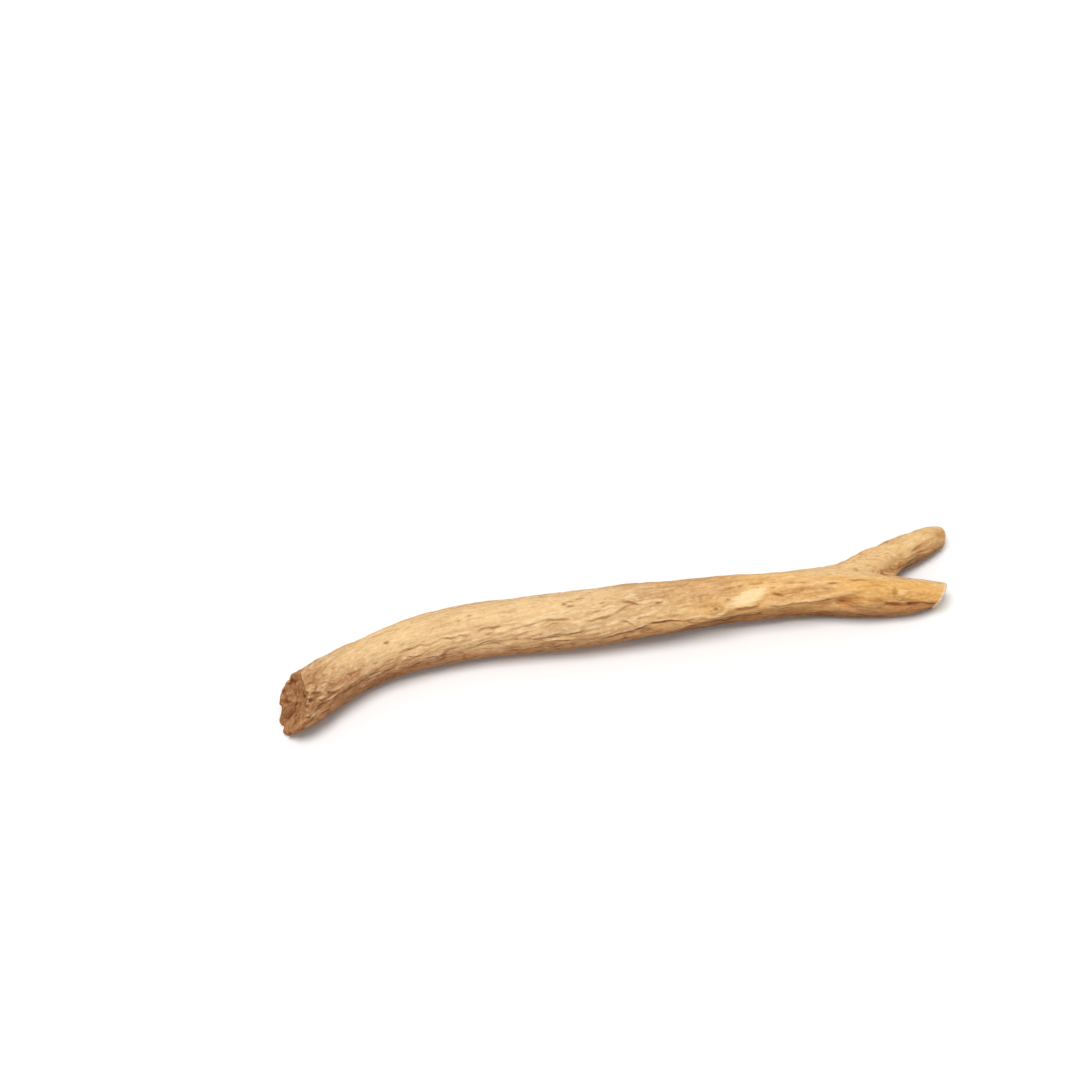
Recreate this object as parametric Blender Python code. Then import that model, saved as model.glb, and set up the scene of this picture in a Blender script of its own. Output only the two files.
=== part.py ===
"""A dried ashwagandha root, forked at one end, lying on a flat surface.

The root grew as one piece, so it is one closed solid. It is lofted from sections that run along a
bent centre line: round ones along the stem, two joined rounds where the branch leaves it, and then a
ring of its own for each arm. Ribs, swells, knots and grooves are raised from that surface by formula.
The origin is under the middle of the root, +X runs from the broken end to the fork, +Z is up.
"""

import bpy
import numpy as np
from mathutils import Vector, noise

MM = 0.001

# Driving dimensions in millimetres. Each row of a centre line: x, y, the gap under it, its radius
STEM = (
    (-55.2, -5.4, 0.3, 4.35),
    (-50.0, -2.4, 0.0, 4.35),
    (-43.0, 0.6, 0.2, 4.15),
    (-34.0, 2.7, 0.4, 4.30),
    (-24.0, 3.4, 0.3, 4.50),
    (-14.0, 2.75, 0.0, 4.80),
    (-5.0, 1.85, 0.0, 4.90),
    (5.0, 1.5, 0.35, 4.80),
    (15.0, 0.9, 0.6, 4.35),
    (27.0, 0.1, 0.8, 3.95),
    (37.0, -1.0, 0.5, 3.80),
    (46.0, -2.75, 0.0, 3.5),
    (51.0, -3.75, 0.0, 3.1),
    (56.1, -4.75, 0.3, 2.35),
)
BRANCH = (
    (18.0, 0.2, 0.9, 0.6),
    (30.0, 0.5, 1.2, 2.1),
    (38.0, 0.9, 1.1, 2.65),
    (44.0, 2.75, 0.8, 2.9),
    (50.0, 4.8, 0.4, 2.9),
    (55.0, 6.8, 0.2, 2.6),
    (58.5, 8.1, 0.1, 2.15),
    (61.0, 8.95, 0.1, 1.45),
)
MIDDLE = (1.75, 0.45)  # x and y of the middle of the root, in the measure of the rows above
PRESSED = 0.2  # how far the lowest places are worn flat where the root rests

AROUND = 52  # points round the stem. Each arm has half as many
RING_GAP = 1.2  # from one ring to the next
SAMPLES_PER_RING = 5  # for reading the centre lines
FORK_WEB = 1.6  # a larger number gives a thinner web of wood in the fork
FORK_GAP = 1.8  # how far apart the two rounds are where the web ends
WIDENS_FROM = 66.0  # along the stem, where its sections begin to make room for the branch
EVEN_OUT = 6.0  # the length past the fork over which an arm's points spread evenly round it
TURN_OVER = 5.0  # the length past the fork over which the branch's rings turn square to it
DROP_OVER = 8.0  # the length past the fork over which the branch settles to its own height
CROTCH_REACH = 4.0  # how far from the crotch the surface is softened
CROTCH_PASSES = 6

# The ends: how far each moves along the root for a millimetre back and for one up, how far its
# edge is rounded, how deep it is hollowed (a dome where negative) and how rough it is
BROKEN_END = (0.38, 0.58, 0.30, 0.9, 0.5)
ARM_END = (0.34, 0.20, 0.30, 0.1, 0.15)
BRANCH_END = (0.30, 0.00, 0.9, -0.2, 0.15)
END_REACH = 9.0  # the length over which the rings lean into the plane of an end
END_RINGS = (0.78, 0.5, 0.22)  # the rings over an end, as shares of its edge
EDGE_RINGS = (0.0, 0.3, 1.0)  # the rings over a rounded edge, as shares of its rounding
ROUGH_SCALE = 1.6  # the size of the bumps on an end
ROUGH_PLACES = (0.0, 5.0, 9.0)  # where the noise of each end's bumps is read

# The relief: its length along the root, its width, where its noise is read, its height
SWELLS = (15.0, 5.0, 3.7, 0.30)
RIBS = (20.0, 1.5, 11.3, 0.55)
RIB_MIDDLE = 0.2  # the height between crest and groove, as a share
TWIST = 0.8  # degrees that the grain turns for each millimetre along the root
SMOOTH_TOP = 0.5  # how much lower the ribs are on top of the root
TOP = (0.2, 0.9)  # height over the centre line where the top begins and where it is whole
UNDERSIDE = (0.75, 0.95)  # the same below the centre line
WORN_GAP = (0.1, 0.6)  # the gap under the root where the relief is worn off, and where it is whole
# Places along the root, degrees round it from the top to the front, radius, height
STEM_KNOTS = (
    (-2.5, 130.0, 2.5, -0.45),
    (2.4, 50.0, 1.3, -0.45),
    (8.0, 62.0, 2.6, 0.25),
    (27.0, 205.0, 2.0, 0.40),
    (49.0, -1.0, 0.9, 0.15),
    (63.0, 238.0, 2.4, 0.45),
    (79.0, 34.0, 3.2, -0.18),
    (83.8, 38.0, 1.1, 0.22),
    (96.2, 58.0, 1.5, -0.18),
    (105.5, 30.0, 1.4, -0.20),
    (113.2, 140.0, 2.8, -0.90),
)
BRANCH_KNOTS = (
    (110.0, 60.0, 1.5, -0.25),
    (104.5, 350.0, 2.0, 0.15),
)
# Half width and height of each crest or groove, then its places: along the root, degrees round it
CREASES = (
    (0.9, -0.36, (14, 52), (28, 40), (36, 32), (43, 28), (52, 34)),
    (0.8, -0.25, (46, 31), (53, 28), (56, 19), (61, 0)),
    (0.9, -0.32, (44, 68), (53, 67), (57, 48), (64, 51)),
    (0.9, 0.50, (65, 79), (72, 71), (77, 60), (83, 54), (89, 58), (93, 50), (98, 33), (105, 14)),
    (1.4, -0.75, (66, 110), (72, 102), (77, 92), (83, 84), (89, 87), (95, 70), (100, 60)),
    (0.8, -0.55, (100, 55), (104, 58), (107, 62), (114, 74)),
    (1.1, -0.30, (3, 100), (20, 92), (38, 76)),
    (1.4, -0.35, (12, 300), (34, 270), (58, 262)),
    (1.3, -0.30, (50, 330), (70, 300), (92, 282)),
    (1.4, -0.30, (30, 160), (52, 138), (78, 128), (98, 110)),
)
CREASE_FADE = 5.0  # the length over which a crest or groove dies out at each end


def read_line(rows, at=None):
    """Rows of numbers as smooth curves of the length in plan, read at the given lengths."""
    rows = np.array(rows, float)
    steps = np.hypot(*np.diff(rows[:, :2], axis=0).T)
    knots = np.concatenate([[0.0], np.cumsum(steps)])
    slopes = np.gradient(rows, knots, axis=0)
    if at is None:
        at = np.linspace(0.0, knots[-1], int(knots[-1] / RING_GAP * SAMPLES_PER_RING))
    i = np.clip(np.searchsorted(knots, at, side="right") - 1, 0, len(knots) - 2)
    span = (knots[i + 1] - knots[i])[:, None]
    u = (at - knots[i])[:, None] / span
    return at, (
        rows[i] * (1 + 2 * u) * (1 - u) ** 2
        + rows[i + 1] * u**2 * (3 - 2 * u)
        + slopes[i] * span * u * (1 - u) ** 2
        + slopes[i + 1] * span * u**2 * (u - 1)
    )


def ease(low, high, x):
    """0 below low, 1 above high, smooth between."""
    t = np.clip((x - low) / (high - low), 0.0, 1.0)
    return t * t * (3 - 2 * t)


def unit(vectors):
    return vectors / np.linalg.norm(vectors, axis=-1, keepdims=True)


def axes_of(ahead):
    """The axes across each direction: back, level, and up."""
    back = unit(np.cross((0.0, 0.0, 1.0), ahead))
    return ahead, back, np.cross(ahead, back)


def noise_at(along, grain, long_scale, cross_scale, seed):
    """Noise drawn out along the root, at places along and across it."""
    return np.array(
        [
            noise.noise(Vector((s / long_scale + seed, a / cross_scale, b / cross_scale)))
            for s, (a, b) in zip(along, grain)
        ]
    )


def turned(degrees, centre):
    """The angle from centre to degrees, from -180 to 180."""
    return (degrees - centre + 180.0) % 360.0 - 180.0


def with_twist(along, across):
    """The places across the root, turned back by the twist of its grain."""
    angle = np.radians(TWIST) * along
    c, s = np.cos(angle), np.sin(angle)
    return np.column_stack([c * across[:, 0] - s * across[:, 1], s * across[:, 0] + c * across[:, 1]])


def knots_and_creases(along, across, radius, knots, creases):
    """The height of the features that have a place of their own."""
    degrees = np.degrees(np.arctan2(-across[:, 0], across[:, 1])) % 360.0
    arc = np.radians(1.0) * radius
    out = np.zeros(len(along))
    for place, angle, size, height in knots:
        away = np.hypot(along - place, arc * turned(degrees, angle))
        out += height * np.exp(-((away / size) ** 2))
    for width, height, *places in creases:
        at, angles = np.array(places, float).T
        away = arc * turned(degrees, np.interp(along, at, angles))
        fade = ease(at[0], at[0] + CREASE_FADE, along) - ease(at[-1] - CREASE_FADE, at[-1], along)
        out += height * fade * np.exp(-((away / width) ** 2))
    return out


def relief(along, across, radius, gap, offset, knots, creases):
    """How far the surface stands out, in millimetres, at places along one ring and across it."""
    grain = with_twist(along, across + offset)
    level = across[:, 1] / radius
    *scales, height = SWELLS
    out = height * noise_at(along, grain, *scales)
    *scales, height = RIBS
    ribs = np.abs(noise_at(along, grain, *scales)) - RIB_MIDDLE
    out += height * (1.0 - SMOOTH_TOP * ease(*TOP, level)) * ribs
    out += knots_and_creases(along, across, radius, knots, creases)
    worn = ease(*UNDERSIDE, -level) * (1.0 - ease(*WORN_GAP, gap))
    return out * (1.0 - worn)


def drawn_in(distance, rim):
    """How far the surface draws in at a distance from the edge of an end that is rounded by rim."""
    t = 1.0 - np.clip(distance / rim, 0.0, 1.0)
    return rim * (1.0 - np.sqrt(1.0 - t**2))


def stations(length, rim):
    """Lengths for the rings from 0 to the given length, with two more at the rounded edge at 0."""
    first = np.array(EDGE_RINGS) * rim
    rest = np.linspace(rim, length, round((length - rim) / RING_GAP) + 1)
    return np.concatenate([first, rest[1:]])


def ray_out(origin, centre, radii, rays):
    """How far each ray from origin runs before it leaves an ellipse. It is 0 where it misses."""
    p = (origin - centre) / radii
    d = rays / radii
    a = (d**2).sum(1)
    b = d @ p
    inside = np.maximum(b**2 - a * (p @ p - 1.0), 0.0)
    return np.maximum((np.sqrt(inside) - b) / a, 0.0)


class Stem:
    """The centre line of the stem and its arm, with the place of the branch across each section."""

    def __init__(self):
        self.along, rows = read_line(STEM)
        self.gap, self.radius = rows[:, 2], rows[:, 3]
        height = self.radius - PRESSED + self.gap
        self.line = np.column_stack([rows[:, :2], height])
        ahead = unit(np.gradient(self.line, self.along, axis=0))
        self.ahead, self.back, self.up = axes_of(ahead)
        self.find_branch()

    def find_branch(self):
        """Where the branch's line crosses each section's plane, and where the two rounds part."""
        lengths, rows = read_line(BRANCH)
        way = unit(np.gradient(rows[:, :2], lengths, axis=0))
        found = []
        for place, ahead, back in zip(self.line[:, :2], self.ahead[:, :2], self.back[:, :2]):
            at = np.interp(0.0, (rows[:, :2] - place) @ ahead, lengths)
            x, y, radius, way_x, way_y = (
                np.interp(at, lengths, column)
                for column in (rows[:, 0], rows[:, 1], rows[:, 3], way[:, 0], way[:, 1])
            )
            off = (np.array([x, y]) - place) @ back
            found.append((off, radius / (np.array([way_x, way_y]) @ ahead), radius, at))
        self.off, self.wide, self.tall, self.branch_at = np.array(found).T
        apart = self.off - self.radius - self.wide
        beyond = self.along > WIDENS_FROM
        self.split = np.interp(FORK_GAP, apart[beyond], self.along[beyond])

    def at(self, along, values):
        """The values at the given lengths along the stem."""
        if values.ndim == 1:
            return np.interp(along, self.along, values)
        return np.stack([np.interp(along, self.along, column) for column in values.T], axis=-1)

    def axes_at(self, along):
        return tuple(self.at(along, axis) for axis in (self.ahead, self.back, self.up))


def stem_ring(stem, along):
    """The outline of one section of the stem, from its top round the front."""
    radius, off, wide, tall = (
        stem.at(along, values) for values in (stem.radius, stem.off, stem.wide, stem.tall)
    )
    angles = np.pi / 2 + 2 * np.pi * np.arange(AROUND) / AROUND
    rays = np.column_stack([np.cos(angles), np.sin(angles)])
    if along < WIDENS_FROM:
        return radius * rays
    shift = ease(WIDENS_FROM, stem.split, along) * (off - wide + radius) / 2
    origin = np.array([shift, 0.0])
    own = ray_out(origin, np.zeros(2), np.array([radius, radius]), rays)
    other = ray_out(origin, np.array([off, 0.0]), np.array([wide, tall]), rays)
    joined = np.logaddexp(FORK_WEB * own, FORK_WEB * other) / FORK_WEB
    return origin + rays * joined[:, None]


def placed(centre, axes, across, shift):
    """The points of a ring in space: across it, and shifted along the root."""
    ahead, back, up = axes
    return centre + across[:, :1] * back + across[:, 1:] * up + shift[:, None] * ahead


def stem_points(stem):
    """The rings of the stem from the broken end to the fork."""
    *cut, rim, _, _ = BROKEN_END
    rings = []
    for along in stations(stem.split, rim):
        across = stem_ring(stem, along)
        shift = (1.0 - ease(0.0, END_REACH, along)) * (across @ np.array(cut))
        raised = relief(
            along + shift,
            across,
            stem.at(along, stem.radius),
            stem.at(along, stem.gap),
            np.zeros(2),
            STEM_KNOTS,
            CREASES,
        )
        raised -= drawn_in(along, rim)
        across = across + unit(across) * raised[:, None]
        rings.append(placed(stem.at(along, stem.line), stem.axes_at(along), across, shift))
    return rings


class Arm:
    """One arm past the fork: at each ring its place, axes, size, and the share of the way along it."""

    def __init__(self, along, line, axes, radii, widths, gaps):
        self.along, self.line, self.axes = along, line, axes
        self.radii, self.widths, self.gaps = radii, widths, gaps

    def points(self, start_angles, first_angle, end, offset, knots, creases):
        """The arm's rings after the fork, up to its end."""
        *cut, rim, _, _ = end
        even = first_angle + 2 * np.pi * np.arange(len(start_angles)) / len(start_angles)
        last = self.along[-1]
        rings = []
        for i in range(1, len(self.along)):
            along = self.along[i]
            share = ease(0.0, EVEN_OUT, along - self.along[0])
            angles = start_angles + (even - start_angles) * share
            rays = np.column_stack([np.cos(angles), np.sin(angles)])
            across = rays * np.array([self.widths[i], self.radii[i]])
            shift = ease(last - END_REACH, last, along) * (across @ np.array(cut))
            raised = relief(
                along + shift, across, self.radii[i], self.gaps[i], offset, knots, creases
            )
            across = across + rays * (raised - drawn_in(last - along, rim))[:, None]
            axes = tuple(axis[i] for axis in self.axes)
            rings.append(placed(self.line[i], axes, across, shift))
        return rings


def arm_lengths(start, end, rim):
    """Lengths from the fork to an arm's end, with two more at the rounded edge."""
    return end - stations(end - start, rim)[::-1]


def angles_from(ring, centre_x, first_angle):
    """The angle of each point of an arm's first ring, rising from the point in the crotch."""
    angles = np.arctan2(ring[:, 1], ring[:, 0] - centre_x)
    angles[0] = first_angle
    return first_angle + np.unwrap(np.mod(angles - first_angle, 2 * np.pi))


def main_arm(stem, first_ring):
    """The arm that carries the stem's line on, from the fork to its slanting cut."""
    along = arm_lengths(stem.split, stem.along[-1], ARM_END[2])
    radii = stem.at(along, stem.radius)
    arm = Arm(
        along,
        stem.at(along, stem.line),
        stem.axes_at(along),
        radii,
        radii,
        stem.at(along, stem.gap),
    )
    start = angles_from(first_ring, 0.0, 0.0)
    return arm.points(start, 0.0, ARM_END, np.zeros(2), STEM_KNOTS, CREASES)


def branch_arm(stem, first_ring):
    """The branch from the fork to its tip. Its rings turn from the stem's section to its own."""
    lengths, _ = read_line(BRANCH)
    start = stem.at(stem.split, stem.branch_at)
    at = arm_lengths(start, lengths[-1], BRANCH_END[2])
    past = at - start
    _, rows = read_line(BRANCH, at)
    gaps, radii = rows[:, 2], rows[:, 3]
    own_height = radii - PRESSED + gaps
    step = stem.at(stem.split, stem.line)[2] - own_height[0]
    heights = own_height + step * (1.0 - ease(0.0, DROP_OVER, past))
    line = np.column_stack([rows[:, :2], heights])
    own = unit(np.gradient(line, at, axis=0))
    turn = ease(0.0, TURN_OVER, past)[:, None]
    axes = axes_of(unit(stem.at(stem.split, stem.ahead) * (1 - turn) + own * turn))
    widths = radii / (axes[0] * own).sum(1)
    arm = Arm(stem.split + past, line, axes, radii, widths, gaps)
    off = stem.at(stem.split, stem.off)
    start_angles = angles_from(first_ring, off, np.pi)
    offset = np.array([off, 0.0])
    return arm.points(start_angles, np.pi, BRANCH_END, offset, BRANCH_KNOTS, ())


class Loft:
    """Points and faces, gathered ring by ring."""

    def __init__(self):
        self.points, self.faces = [], []

    def add(self, ring):
        start = len(self.points)
        self.points.extend(ring)
        return list(range(start, len(self.points)))

    def join(self, first, second):
        """Faces between two rings that run the same way round."""
        for j in range(len(first)):
            k = (j + 1) % len(first)
            corners = (first[j], first[k], second[k], second[j])
            self.faces.append(tuple(dict.fromkeys(corners)))

    def close(self, edge, inward, end, seed):
        """Faces over an end, through smaller and smaller rings. Inward points into the root."""
        *_, hollow, rough = end
        rim = np.array([self.points[i] for i in edge])
        middle = rim.mean(0)
        out_of_root = np.dot(np.cross(rim[0] - middle, rim[1] - middle), inward) < 0
        apart = Vector((seed, 0.0, 0.0))
        outer = edge
        for share in (*END_RINGS, 0.0):
            ring = middle + (rim - middle) * share if share else middle[None]
            bumps = np.array([noise.noise(Vector(p) / ROUGH_SCALE + apart) for p in ring])
            depth = hollow * (1 - share**2) + rough * bumps * (1 - share**4)
            inner = self.add(ring + inward * depth[:, None])
            inner_all = inner if share else inner * len(outer)
            pair = (outer, inner_all) if out_of_root else (inner_all, outer)
            self.join(*pair)
            outer = inner


def loft_root():
    """The points in millimetres, the faces, and the crotch."""
    stem = Stem()
    loft = Loft()
    rings = stem_points(stem)
    half = AROUND // 2
    last = rings[-1]
    crotch = (last[0] + last[half]) / 2
    last[0] = crotch
    ids = [loft.add(ring) for ring in rings[:-1]]
    kept = loft.add(np.delete(last, half, axis=0))
    ids.append(kept[:half] + [kept[0]] + kept[half:])
    for first, second in zip(ids, ids[1:]):
        loft.join(first, second)
    loft.close(ids[0], stem.ahead[0], BROKEN_END, ROUGH_PLACES[0])
    section = stem_ring(stem, stem.split)
    front = section[:half]
    behind = np.vstack([section[:1], section[half + 1 :]])
    arms = (
        (ids[-1][:half], main_arm(stem, front), ARM_END, ROUGH_PLACES[1]),
        ([ids[-1][0]] + ids[-1][half + 1 :], branch_arm(stem, behind), BRANCH_END, ROUGH_PLACES[2]),
    )
    for ring, arm, end, place in arms:
        for points in arm:
            following = loft.add(points)
            loft.join(ring, following)
            ring = following
        inward = unit(np.mean(arm[-5], axis=0) - np.mean(arm[-1], axis=0))
        loft.close(ring, inward, end, place)
    points = np.array(loft.points)
    points[:, 2] = np.maximum(points[:, 2], 0.0)
    shift = np.array([*MIDDLE, 0.0])
    return points - shift, loft.faces, crotch - shift


def bark_material():
    material = bpy.data.materials.new("bark")
    material.use_nodes = True
    shader = material.node_tree.nodes["Principled BSDF"]
    shader.inputs["Base Color"].default_value = (0.68, 0.44, 0.22, 1.0)
    shader.inputs["Roughness"].default_value = 0.8
    shader.inputs["Metallic"].default_value = 0.0
    return material


def soften_crotch(root, points, crotch):
    """Relaxes the surface round the crotch, less and less away from it."""
    weights = 1.0 - np.linalg.norm(points - crotch, axis=1) / CROTCH_REACH
    group = root.vertex_groups.new(name="crotch")
    for i in np.flatnonzero(weights > 0.0):
        group.add([int(i)], float(weights[i]), "REPLACE")
    softened = root.modifiers.new("soften the crotch", "SMOOTH")
    softened.factor = 0.5
    softened.iterations = CROTCH_PASSES
    softened.vertex_group = group.name


def add_root(collection):
    points, faces, crotch = loft_root()
    mesh = bpy.data.meshes.new("root")
    mesh.from_pydata((points * MM).tolist(), [], faces)
    mesh.materials.append(bark_material())
    mesh.shade_smooth()
    root = bpy.data.objects.new("root", mesh)
    collection.objects.link(root)
    soften_crotch(root, points, crotch)
    return root


def main():
    for obj in list(bpy.data.objects):
        bpy.data.objects.remove(obj)
    collection = bpy.data.collections.new("ashwagandha_root")
    bpy.context.scene.collection.children.link(collection)
    add_root(collection)


main()
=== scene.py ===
"""A dried ashwagandha root, forked at one end, on a plain pale studio floor.

The root is one closed skin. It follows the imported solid's form, section by section along the same bent
centre line, and adds the fine wrinkles, fibres, scars and broken ends that the solid leaves out.
Lengths along the root, and heights of its relief, are in millimetres.
"""

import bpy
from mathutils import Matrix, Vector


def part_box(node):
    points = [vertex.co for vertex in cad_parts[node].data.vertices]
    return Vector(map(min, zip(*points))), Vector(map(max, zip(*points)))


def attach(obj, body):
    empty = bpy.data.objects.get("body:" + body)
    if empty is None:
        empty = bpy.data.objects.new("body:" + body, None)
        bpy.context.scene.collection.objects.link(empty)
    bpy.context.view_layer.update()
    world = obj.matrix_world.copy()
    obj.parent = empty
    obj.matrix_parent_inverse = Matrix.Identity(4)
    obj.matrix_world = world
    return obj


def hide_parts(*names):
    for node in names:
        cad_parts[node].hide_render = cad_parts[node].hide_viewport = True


bl_info = {
    "name": "Ashwagandha root",
    "version": (1, 0, 0),
    "blender": (4, 5, 0),
    "location": "3D View > Sidebar > Root",
    "description": "Adds a dried, forked root with its bark, and a studio to see it in",
    "category": "Add Mesh",
}

import math

import bpy
import numpy as np
from bpy.props import FloatProperty, FloatVectorProperty, IntProperty, PointerProperty
from mathutils import Matrix, Vector, noise

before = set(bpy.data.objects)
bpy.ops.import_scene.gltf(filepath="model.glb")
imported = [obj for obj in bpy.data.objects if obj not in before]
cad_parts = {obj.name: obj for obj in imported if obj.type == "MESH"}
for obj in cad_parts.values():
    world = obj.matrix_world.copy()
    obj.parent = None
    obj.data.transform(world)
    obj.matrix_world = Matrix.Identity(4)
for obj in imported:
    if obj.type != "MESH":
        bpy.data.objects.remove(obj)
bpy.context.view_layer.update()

MM = 0.001

# Each row of a centre line: x, y, the gap under it, its radius
STEM = (
    (-55.2, -5.4, 0.3, 4.35),
    (-50, -2.4, 0, 4.35),
    (-43, 0.6, 0.2, 4.15),
    (-34, 2.7, 0.4, 4.3),
    (-24, 3.4, 0.3, 4.5),
    (-14, 2.75, 0, 4.8),
    (-5, 1.85, 0, 4.9),
    (5, 1.5, 0.35, 4.8),
    (15, 0.9, 0.6, 4.35),
    (27, 0.1, 0.8, 3.95),
    (37, -1, 0.5, 3.8),
    (46, -2.75, 0, 3.5),
    (51, -3.75, 0, 3.1),
    (56.1, -4.75, 0.3, 2.35),
)
BRANCH = (
    (18, 0.2, 0.9, 0.6),
    (30, 0.5, 1.2, 2.1),
    (38, 0.9, 1.1, 2.65),
    (44, 2.75, 0.8, 2.9),
    (50, 4.8, 0.4, 2.9),
    (55, 6.8, 0.2, 2.6),
    (58.5, 8.1, 0.1, 2.15),
    (61, 8.95, 0.1, 1.45),
)
MIDDLE = (1.75, 0.45)  # x and y of the middle of the root, in the measure of the rows above
PRESSED = 0.2  # how far the lowest places are worn flat where the root rests

LINE_STEP = 0.24  # for reading the centre lines
FORK_WEB = 1.6  # a larger number gives a thinner web of wood in the fork
FORK_GAP = 1.8  # how far apart the two rounds are where the web ends
WIDENS_FROM = 66.0  # along the stem, where its sections begin to make room for the branch
EVEN_OUT = 6.0  # the length past the fork over which an arm's points spread evenly round it
TURN_OVER = 5.0  # the length past the fork over which the branch's rings turn square to it
DROP_OVER = 8.0  # the length past the fork over which the branch settles to its own height
CROTCH_REACH = 4.0  # how far from the crotch the surface is softened
CROTCH_SOFTENING = (0.5, 100)  # how strongly, and how many times

# The ends: how far each moves along the root for a millimetre back and for one up, how far its
# edge is rounded, how deep it is hollowed (a dome where negative) and how rough it is
BROKEN_END = (0.38, 0.58, 0.30, 0.9, 0.5)
ARM_END = (0.34, 0.20, 0.30, 0.1, 0.15)
BRANCH_END = (0.30, 0.0, 0.9, -0.2, 0.15)
END_REACH = 9.0  # the length over which the rings lean into the plane of an end
END_RINGS = (0.97, 0.93, 0.88, 0.82, 0.75, 0.68, 0.6, 0.52, 0.44, 0.35, 0.26, 0.17, 0.08)
EDGE_RINGS = (0.0, 0.1, 0.25, 0.5, 1.0)  # the rings over a rounded edge, as shares of its rounding
# The bumps on an end, then its torn fibres: their size, their height as a share of how rough it is
END_BUMPS = ((1.6, 1.0), (0.8, 0.8), (0.35, 0.25))
ROUGH_PLACES = (0.0, 5.0, 9.0)  # where the noise of each end's bumps is read
PITS_DARK = 1.4  # how dark the painted shade in the pits of an end is, for their depth
WAY_IN = 12  # how many rings back from an arm's end the way into it is measured
TORN_EDGE = ((2.4, 1.3), (1.0, 0.5))  # the size of each notch in the broken edge, its depth
TORN_REACH = 3.0  # the length over which the notches die out
PALE_RIM = (0.25, 0.7)  # how far the pale wood shows over the edge of an arm's end

# The relief: its length along the root, its width, where its noise is read, its height
SWELLS = (15, 5, 3.7, 0.3)
RIBS = (20, 1.5, 11.3, 0.55)
RIB_MIDDLE = 0.2  # the height between crest and groove, as a share
TWIST = 0.8  # degrees that the grain turns for each millimetre along the root
SMOOTH_TOP = 0.5  # how much lower the ribs are on top of the root
TOP = (0.2, 0.9)  # how high the top begins and is whole, as shares of the radius over the middle
UNDERSIDE = (0.75, 0.95)  # the same below the middle
WORN_GAP = (0.1, 0.6)  # the gap under the root where the relief is worn off, and where it is whole
# Places along the root, degrees round it from the top to the front, radius, height
STEM_KNOTS = (
    (-2.5, 130, 2.5, -0.45),
    (2.4, 50, 1.3, -0.45),
    (8, 62, 2.6, 0.25),
    (27, 205, 2, 0.4),
    (49, -1, 0.9, 0.15),
    (63, 238, 2.4, 0.45),
    (79, 34, 3.2, -0.18),
    (83.8, 38, 1.1, 0.22),
    (96.2, 58, 1.5, -0.18),
    (105.5, 30, 1.4, -0.2),
    (113.2, 140, 2.8, -0.9),
)
BRANCH_KNOTS = (
    (110, 60, 1.5, -0.25),
    (104.5, 350, 2, 0.15),
)
# Half width and height of each crest or groove, then its places: along the root, degrees round it
CREASES = (
    (0.9, -0.36, (14, 52), (28, 40), (36, 32), (43, 28), (52, 34)),
    (0.8, -0.25, (46, 31), (53, 28), (56, 19), (61, 0)),
    (0.9, -0.32, (44, 68), (53, 67), (57, 48), (64, 51)),
    (0.9, 0.5, (65, 79), (72, 71), (77, 60), (83, 54), (89, 58), (93, 50), (98, 33), (105, 14)),
    (1.4, -0.75, (66, 110), (72, 102), (77, 92), (83, 84), (89, 87), (95, 70), (100, 60)),
    (0.8, -0.55, (100, 55), (104, 58), (107, 62), (114, 74)),
    (1.1, -0.3, (3, 100), (20, 92), (38, 76)),
    (1.4, -0.35, (12, 300), (34, 270), (58, 262)),
    (1.3, -0.3, (50, 330), (70, 300), (92, 282)),
    (1.4, -0.3, (30, 160), (52, 138), (78, 128), (98, 110)),
)
CREASE_FADE = 5.0  # the length over which a crest or groove dies out at each end

# Fine wrinkles: length, width, where the noise is read, thickness as a share, depth, how common
WRINKLES = (
    (7, 1, 31, 0.07, 0.09, 0.02),
    (4.2, 0.66, 47, 0.1, 0.08, 0),
    (2.4, 0.48, 59, 0.12, 0.05, -0.02),
)
WRINKLE_PATCH = (8.0, 1.8)  # length and width of the patches that hold wrinkles
PATCH_APART = 5.0  # how far from a wrinkle's noise that of its patches is read
PATCH_EDGE = (-0.12, 0.22)  # the noise where a patch begins and where it is whole
SMOOTHER_TOP = 0.65  # how much shallower the wrinkles are on top
# Small lumps and fibres: length, width, where the noise is read, height
LUMPS = (
    (2.6, 1.6, 71, 0.09),
    (1, 0.65, 83, 0.05),
    (0.55, 0.4, 89, 0.028),
    (3.2, 0.45, 97, 0.035),
)
CREST = (0.25, 0.9)  # where the lumps are high, as shares of the height of the largest
CREST_PALE = 0.4  # how strong the painted highlight on a high lump is
# Folds near the broken end: length, width, where the noise is read, thickness as a share, depth
FOLDS = (
    (2.2, 1.1, 111, 0.11, 0.18),
    (1.1, 0.7, 119, 0.12, 0.08),
)
FOLD_LUMPS = (1.8, 1.2, 127, 0.34)
FOLDED = (1.5, 11.0)  # along the root, up to where the folds are whole and where they end
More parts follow.
